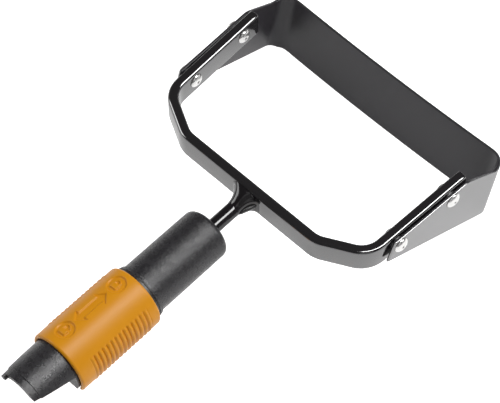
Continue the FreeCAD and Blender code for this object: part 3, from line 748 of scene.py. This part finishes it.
def sleeve_marks(u, w):
    """How deep the sunk marks are, 0 to 1: two round pits that hold a padlock in relief, closed in
    front and open behind, and a two-headed arrow between them. Their walls slope."""
    shape = np.full_like(u, 9.0)
    for middle, lifted in ((FRONT_PIT_Y, 0.0), (REAR_PIT_Y, SHACKLE_LIFT)):
        disc = np.hypot(u, w - middle) - PIT_R
        shape = np.minimum(shape, np.maximum(disc, -padlock_distance(u, w - middle, lifted)))
    run = np.abs(w - ARROW_Y)
    head = np.maximum((np.abs(u) + run - ARROW_HALF) / math.sqrt(2), ARROW_NECK - run)
    shaft = np.maximum(np.abs(u) - SHAFT_HALF, run - SHAFT_END)
    shape = np.minimum(shape, np.minimum(head, shaft))
    return np.clip(0.5 - shape / MARK_WALL, 0, 1)


def sleeve_ribs(angle, y):
    """Height of the grip ribs on both flanks, |cos(pi y / pitch)|^0.8 with sharp valleys, faded at
    both ends of each rib and of the row."""
    last = RIB_FIRST_Y + (RIB_COUNT - 1) * RIB_PITCH
    phase = (y - RIB_FIRST_Y) / RIB_PITCH
    crest = np.abs(np.cos(np.pi * phase)) ** 0.8
    along = np.clip((y - RIB_FIRST_Y + RIB_PITCH / 2) / 0.5, 0, 1)
    along = along * np.clip((last + RIB_PITCH / 2 - y) / 0.5, 0, 1)
    flank = np.clip((np.abs(angle) - 51) / 2.2, 0, 1) * np.clip((129 - np.abs(angle)) / 2.2, 0, 1)
    return (RIB_HEIGHT * crest - RIB_SUNK) * along * flank


def build_sleeve():
    """A tube whose outer radius is the plain radius, less the marks' depth, plus the ribs' height,
    over a grid of angle and Y; the angle steps are finer where the marks lie. Underneath, the rear
    rim moves forward to a slanting plane, and the rows up to the knee are squeezed to follow it."""
    start, end = SLEEVE_LOW[1], SLEEVE_HIGH[1]
    fine = np.arange(-34.0, 8.0, 0.66)
    rest = np.concatenate([np.arange(8.0, 46, 3.0), np.arange(46, 135, 1.4), np.arange(135, 222, 3.0),
                           np.arange(222, 315, 1.4), np.arange(315, 326, 2.6)])
    angle = np.concatenate([fine, rest])
    signed = (angle + 180) % 360 - 180
    y = np.linspace(start + RIM_R, end - RIM_R, 236)
    rim_rear = arc((start + RIM_R, SLEEVE_R - RIM_R), RIM_R, 180, 90, 8)[:-1, ::-1]
    rim_front = arc((end - RIM_R, SLEEVE_R - RIM_R), RIM_R, 90, 0, 8)[1:, ::-1]
    outer = np.stack([np.full_like(y, SLEEVE_R), y], -1)
    bore = np.array([(MOUTH_R, end - 0.4), (MOUTH_R, end - 3.0), (BORE_R, end - 3.2),
                     (BORE_R, end - 12), (BORE_R, start + 12), (BORE_R, start + 1.4),
                     (BORE_R + 0.3, start + 0.7), (BORE_R + 0.9, start)])
    profile = np.concatenate([rim_rear, outer, rim_front, bore])
    t = np.radians(angle)
    rim = np.maximum(start, (-SLEEVE_R * np.cos(t) - UNDERSIDE_HEIGHT) / UNDERSIDE_SLOPE)
    knee = start + KNEE
    squeezed = rim + (profile[:, 1:] - start) * (knee - rim) / (knee - start)
    station = np.where(profile[:, 1:] < knee, squeezed, profile[:, 1:])
    relief = np.zeros((len(profile), len(angle)))
    first = len(rim_rear)
    u = np.radians(signed - MARKS_DEGREES) * SLEEVE_R
    uu, aa = (np.broadcast_to(values, (len(y), len(angle))) for values in (u, signed))
    yy = station[first:first + len(y)]
    relief[first:first + len(y)] = sleeve_ribs(aa, yy) - MARK_DEPTH * sleeve_marks(uu, yy)
    radius = profile[:, :1] + relief
    points = np.stack([radius * np.sin(t), station, radius * np.cos(t)], -1)
    rows, columns = points.shape[:2]
    faces = [grid_faces(rows, columns, close_rows=True)]
    make_piece("sleeve_grip_shell", points.reshape(-1, 3), faces, sleeve_plastic, "sleeve",
               ["locking_sleeve"], 50.0)


build_sleeve()


# ---- Finishes of the nodes that stay as they are -------------------------------------------------

for node, material in (("coupling_core", core_plastic), ("front_bush", bush_plastic),
                       ("tang_cross_pin", pin_steel), ("snap_ring", ring_steel),
                       ("washer_rear_left", washer_steel), ("washer_front_left", washer_steel),
                       ("washer_rear_right", washer_steel), ("washer_front_right", washer_steel),
                       ("sleeve_seal", seal_rubber)):
    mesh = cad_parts[node].data
    mesh.materials.clear()
    mesh.materials.append(material)


# ---- Floor, light and camera ---------------------------------------------------------------------

# the middle of the tool, which the camera and the lights face, and other lengths in metres
MIDDLE = Vector((0.00359, 0.16219, -0.00032))
CAMERA_DISTANCE = 1.361
CAMERA_TURN = math.radians(43.81)
CAMERA_RISE = math.radians(58.39)
FLOOR_HALF = 6.0
FLOOR_GAP = 0.0006
# millimetres on the camera
SENSOR_WIDTH = 36.0
FOCAL_LENGTH = 157.8
# strengths of the floor's glow and of the surroundings, which dim up to a height of 0 to 1
GLOW_TO_TOOL = 0.38
GLOW_TO_CAMERA = 1.0
HORIZON_LEVEL = 0.22
OVERHEAD_LEVEL = 0.05
DIM_FROM = 0.55


def build_floor():
    """A pale sheet under the blade's lower edge. It glows a little, more towards the camera than
    towards the tool, so it stays even without washing the tool's sides out."""
    size, level = FLOOR_HALF, cad_low[2] - FLOOR_GAP
    mesh = bpy.data.meshes.new("pale_floor")
    mesh.from_pydata([(-size, -size, level), (size, -size, level), (size, size, level),
                      (-size, size, level)], [], [(0, 1, 2, 3)])
    floor = bpy.data.objects.new("pale_floor", mesh)
    bpy.context.scene.collection.objects.link(floor)
    material = bpy.data.materials.new("pale_floor_sheet")
    material.use_nodes = True
    tree = material.node_tree
    shader = tree.nodes["Principled BSDF"]
    shader.inputs["Base Color"].default_value = (0.75, 0.75, 0.75, 1)
    shader.inputs["Roughness"].default_value = 0.9
    shader.inputs["Emission Color"].default_value = (1, 1, 1, 1)
    path = tree.nodes.new("ShaderNodeLightPath")
    glow = tree.nodes.new("ShaderNodeMapRange")
    glow.inputs["To Min"].default_value = GLOW_TO_TOOL
    glow.inputs["To Max"].default_value = GLOW_TO_CAMERA
    tree.links.new(path.outputs["Is Camera Ray"], glow.inputs["Value"])
    tree.links.new(glow.outputs["Result"], shader.inputs["Emission Strength"])
    mesh.materials.append(material)


def softbox(name, direction, distance, wide, high, power):
    """A rectangular light that faces the middle of the tool from a direction."""
    light = bpy.data.lights.new(name, "AREA")
    light.shape = "RECTANGLE"
    light.size, light.size_y = wide, high
    light.energy = power
    lamp = bpy.data.objects.new(name, light)
    aim = Vector(direction).normalized()
    lamp.location = MIDDLE + aim * distance
    lamp.rotation_euler = (-aim).to_track_quat("-Z", "Y").to_euler()
    bpy.context.scene.collection.objects.link(lamp)


def build_studio():
    """Surroundings that are bright at the horizon and dim overhead, a long strip across the tool's
    far right and softer fill from the right and the left."""
    world = bpy.data.worlds.new("studio")
    bpy.context.scene.world = world
    world.use_nodes = True
    tree = world.node_tree
    backdrop = tree.nodes["Background"]
    backdrop.inputs["Color"].default_value = (1.0, 1.0, 1.0, 1.0)
    place = tree.nodes.new("ShaderNodeTexCoord")
    parts = tree.nodes.new("ShaderNodeSeparateXYZ")
    tree.links.new(place.outputs["Generated"], parts.inputs[0])
    fall = tree.nodes.new("ShaderNodeMapRange")
    fall.interpolation_type = "SMOOTHSTEP"
    fall.inputs["From Min"].default_value = 0.0
    fall.inputs["From Max"].default_value = DIM_FROM
    fall.inputs["To Min"].default_value = HORIZON_LEVEL
    fall.inputs["To Max"].default_value = OVERHEAD_LEVEL
    tree.links.new(parts.outputs["Z"], fall.inputs["Value"])
    tree.links.new(fall.outputs["Result"], backdrop.inputs["Strength"])
    softbox("strip_far_right", (0.36, 0.38, 0.85), 1.6, 0.42, 1.6, 30)
    softbox("fill_right", (0.85, -0.45, 0.75), 1.8, 1.0, 1.0, 1.5)
    softbox("fill_left", (-0.9, -0.5, 0.6), 2.0, 1.0, 1.0, 13)


def build_camera():
    """A long lens looking down on the tool from the handle's right."""
    flat = math.cos(CAMERA_RISE)
    away = Vector((math.sin(CAMERA_TURN) * flat, -math.cos(CAMERA_TURN) * flat, math.sin(CAMERA_RISE)))
    data = bpy.data.cameras.new("camera")
    data.sensor_width = SENSOR_WIDTH
    data.lens = FOCAL_LENGTH
    camera = bpy.data.objects.new("camera", data)
    camera.location = MIDDLE + away * CAMERA_DISTANCE
    camera.rotation_euler = (-away).to_track_quat("-Z", "Y").to_euler()
    bpy.context.scene.collection.objects.link(camera)
    bpy.context.scene.camera = camera


build_floor()
build_studio()
build_camera()
bpy.context.scene.view_settings.view_transform = "Standard"
